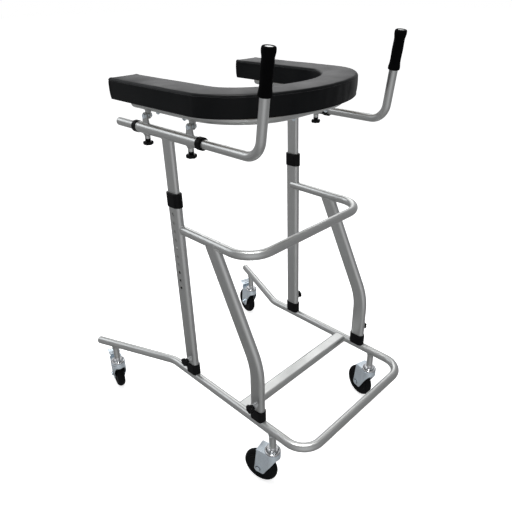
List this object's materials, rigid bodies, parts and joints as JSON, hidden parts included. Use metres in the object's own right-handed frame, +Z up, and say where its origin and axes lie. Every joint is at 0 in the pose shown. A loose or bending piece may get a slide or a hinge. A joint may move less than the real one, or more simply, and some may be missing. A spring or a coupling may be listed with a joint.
{
  "type": "walking frame",
  "caption": "Forearm-support walking frame on swivel casters, with a U-shaped padded rest, telescopic uprights and sliding, turning grips.",
  "frame": {"origin": "on the floor, below the middle of the frame", "axes": "+Z up, -Y the walking direction (front), +X to the user's left"},
  "size_m": [0.7218, 0.867, 1.1747],
  "materials": {
    "silver_tube": "satin silver, fine sprayed metallic coat",
    "silver_plug": "satin silver plug",
    "zinc_plated_steel": "bright bluish zinc plating",
    "spring_steel": "polished spring steel",
    "black_plastic": "matt black moulded plastic",
    "knob_plastic": "semi-matt black moulded plastic",
    "grip_rubber": "soft black rubber",
    "wheel_rubber": "solid black rubber",
    "black_vinyl": "black vinyl upholstery with a fine grain",
    "plywood": "plain plywood"
  },
  "bodies": {
    "base_frame": {"base_tube": "silver_tube", "base_crossbar": "silver_tube", "base_end_caps": "silver_plug", "caster_posts": "silver_tube", "caster_stems": "zinc_plated_steel", "caster_ball_rings": "zinc_plated_steel", "leg_spigots": "silver_tube", "leg_collars": "black_plastic", "leg_knob_bosses": "silver_tube", "right_upright": "silver_tube", "left_upright": "silver_tube", "upright_collars": "black_plastic", "mid_rail": "silver_tube", "right_front_leg": "silver_tube", "left_front_leg": "silver_tube"},
    "upper_frame": {"right_inner_tube": "silver_tube", "left_inner_tube": "silver_tube", "right_sleeve": "silver_tube", "left_sleeve": "silver_tube", "sleeve_bushes": "black_plastic", "sleeve_knob_bosses": "silver_tube", "sleeve_lugs": "silver_tube", "pad_lugs": "silver_tube", "lug_bolts": "zinc_plated_steel", "pad_frame": "silver_tube", "pad_board": "plywood", "arm_pad": "black_vinyl", "pad_screws": "zinc_plated_steel"},
    "right_button": {"right_height_button": "spring_steel"},
    "right_handle_slider": {"right_handle_cap": "silver_plug"},
    "right_handle": {"right_handle_tube": "silver_tube", "right_grip": "grip_rubber"},
    "right_upright_knob": {"right_upright_knob": "knob_plastic"},
    "right_leg_knob": {"right_leg_knob": "knob_plastic"},
    "left_button": {"left_height_button": "spring_steel"},
    "left_handle_slider": {"left_handle_cap": "silver_plug"},
    "left_handle": {"left_handle_tube": "silver_tube", "left_grip": "grip_rubber"},
    "left_upright_knob": {"left_upright_knob": "knob_plastic"},
    "left_leg_knob": {"left_leg_knob": "knob_plastic"},
    "right_rear_sleeve_knob": {"right_rear_sleeve_knob": "knob_plastic"},
    "right_front_sleeve_knob": {"right_front_sleeve_knob": "knob_plastic"},
    "left_rear_sleeve_knob": {"left_rear_sleeve_knob": "knob_plastic"},
    "left_front_sleeve_knob": {"left_front_sleeve_knob": "knob_plastic"},
    "front_right_caster": {"front_right_fork": "zinc_plated_steel", "front_right_axle": "zinc_plated_steel"},
    "front_right_rolling_wheel": {"front_right_wheel": "wheel_rubber"},
    "rear_right_caster": {"rear_right_fork": "zinc_plated_steel", "rear_right_axle": "zinc_plated_steel"},
    "rear_right_rolling_wheel": {"rear_right_wheel": "wheel_rubber"},
    "rear_right_brake": {"rear_right_brake_pedal": "zinc_plated_steel"},
    "front_left_caster": {"front_left_fork": "zinc_plated_steel", "front_left_axle": "zinc_plated_steel"},
    "front_left_rolling_wheel": {"front_left_wheel": "wheel_rubber"},
    "rear_left_caster": {"rear_left_fork": "zinc_plated_steel", "rear_left_axle": "zinc_plated_steel"},
    "rear_left_rolling_wheel": {"rear_left_wheel": "wheel_rubber"},
    "rear_left_brake": {"rear_left_brake_pedal": "zinc_plated_steel"}
  },
  "joints": [
    {"name": "height_slide", "type": "slide", "parent": "base_frame", "child": "upper_frame", "axis": [0, 0.0227, 0.9997], "range_m": [-0.125, 0.1], "deforming": ["right_height_button", "left_height_button"]},
    {"name": "right_height_button_press", "type": "slide", "parent": "upper_frame", "child": "right_button", "axis": [1, 0, 0], "range_m": [0, 0.0042], "stiffness_N_per_m": 900, "springref_m": -0.002},
    {"name": "right_handle_reach", "type": "slide", "parent": "upper_frame", "child": "right_handle_slider", "axis": [0, -1, 0], "range_m": [-0.04, 0.06]},
    {"name": "right_handle_turn", "type": "hinge", "parent": "right_handle_slider", "child": "right_handle", "pos_m": [-0.235, 0.267, 0.952], "axis": [0, 1, 0], "range_deg": [-30, 30]},
    {"name": "right_upright_knob_turn", "type": "hinge", "parent": "base_frame", "child": "right_upright_knob", "pos_m": [-0.255, 0.03341, 0.26498], "axis": [-1, 0, 0], "range_deg": [0, 720]},
    {"name": "right_leg_knob_turn", "type": "hinge", "parent": "base_frame", "child": "right_leg_knob", "pos_m": [-0.255, -0.249, 0.265], "axis": [-1, 0, 0], "range_deg": [0, 720]},
    {"name": "left_height_button_press", "type": "slide", "parent": "upper_frame", "child": "left_button", "axis": [-1, 0, 0], "range_m": [0, 0.0042], "stiffness_N_per_m": 900, "springref_m": -0.002},
    {"name": "left_handle_reach", "type": "slide", "parent": "upper_frame", "child": "left_handle_slider", "axis": [0, -1, 0], "range_m": [-0.04, 0.06]},
    {"name": "left_handle_turn", "type": "hinge", "parent": "left_handle_slider", "child": "left_handle", "pos_m": [0.235, 0.267, 0.952], "axis": [0, 1, 0], "range_deg": [-30, 30]},
    {"name": "left_upright_knob_turn", "type": "hinge", "parent": "base_frame", "child": "left_upright_knob", "pos_m": [0.255, 0.03341, 0.26498], "axis": [1, 0, 0], "range_deg": [0, 720]},
    {"name": "left_leg_knob_turn", "type": "hinge", "parent": "base_frame", "child": "left_leg_knob", "pos_m": [0.255, -0.249, 0.265], "axis": [1, 0, 0], "range_deg": [0, 720]},
    {"name": "right_rear_sleeve_knob_turn", "type": "hinge", "parent": "upper_frame", "child": "right_rear_sleeve_knob", "pos_m": [-0.235, 0.137, 0.922], "axis": [0, 0, -1], "range_deg": [0, 720]},
    {"name": "right_front_sleeve_knob_turn", "type": "hinge", "parent": "upper_frame", "child": "right_front_sleeve_knob", "pos_m": [-0.235, -0.041, 0.922], "axis": [0, 0, -1], "range_deg": [0, 720]},
    {"name": "left_rear_sleeve_knob_turn", "type": "hinge", "parent": "upper_frame", "child": "left_rear_sleeve_knob", "pos_m": [0.235, 0.137, 0.922], "axis": [0, 0, -1], "range_deg": [0, 720]},
    {"name": "left_front_sleeve_knob_turn", "type": "hinge", "parent": "upper_frame", "child": "left_front_sleeve_knob", "pos_m": [0.235, -0.041, 0.922], "axis": [0, 0, -1], "range_deg": [0, 720]},
    {"name": "front_right_swivel", "type": "hinge", "parent": "base_frame", "child": "front_right_caster", "pos_m": [-0.237, -0.305, 0.146], "axis": [0, 0, 1], "continuous": true},
    {"name": "front_right_roll", "type": "hinge", "parent": "front_right_caster", "child": "front_right_rolling_wheel", "pos_m": [-0.24555, -0.26797, 0.0525], "axis": [0.9744, 0.225, 0], "continuous": true},
    {"name": "rear_right_swivel", "type": "hinge", "parent": "base_frame", "child": "rear_right_caster", "pos_m": [-0.32596, 0.347, 0.146], "axis": [0, 0, 1], "continuous": true},
    {"name": "rear_right_roll", "type": "hinge", "parent": "rear_right_caster", "child": "rear_right_rolling_wheel", "pos_m": [-0.31549, 0.38353, 0.0525], "axis": [0.9613, -0.2756, 0], "continuous": true},
    {"name": "rear_right_brake_press", "type": "hinge", "parent": "rear_right_caster", "child": "rear_right_brake", "pos_m": [-0.31549, 0.38353, 0.1165], "axis": [-0.9613, 0.2756, 0], "range_deg": [0, 12]},
    {"name": "front_left_swivel", "type": "hinge", "parent": "base_frame", "child": "front_left_caster", "pos_m": [0.237, -0.305, 0.146], "axis": [0, 0, 1], "continuous": true},
    {"name": "front_left_roll", "type": "hinge", "parent": "front_left_caster", "child": "front_left_rolling_wheel", "pos_m": [0.24747, -0.26847, 0.0525], "axis": [0.9613, -0.2756, 0], "continuous": true},
    {"name": "rear_left_swivel", "type": "hinge", "parent": "base_frame", "child": "rear_left_caster", "pos_m": [0.32596, 0.347, 0.146], "axis": [0, 0, 1], "continuous": true},
    {"name": "rear_left_roll", "type": "hinge", "parent": "rear_left_caster", "child": "rear_left_rolling_wheel", "pos_m": [0.33644, 0.38353, 0.0525], "axis": [0.9613, -0.2756, 0], "continuous": true},
    {"name": "rear_left_brake_press", "type": "hinge", "parent": "rear_left_caster", "child": "rear_left_brake", "pos_m": [0.33644, 0.38353, 0.1165], "axis": [-0.9613, 0.2756, 0], "range_deg": [0, 12]}
  ]
}
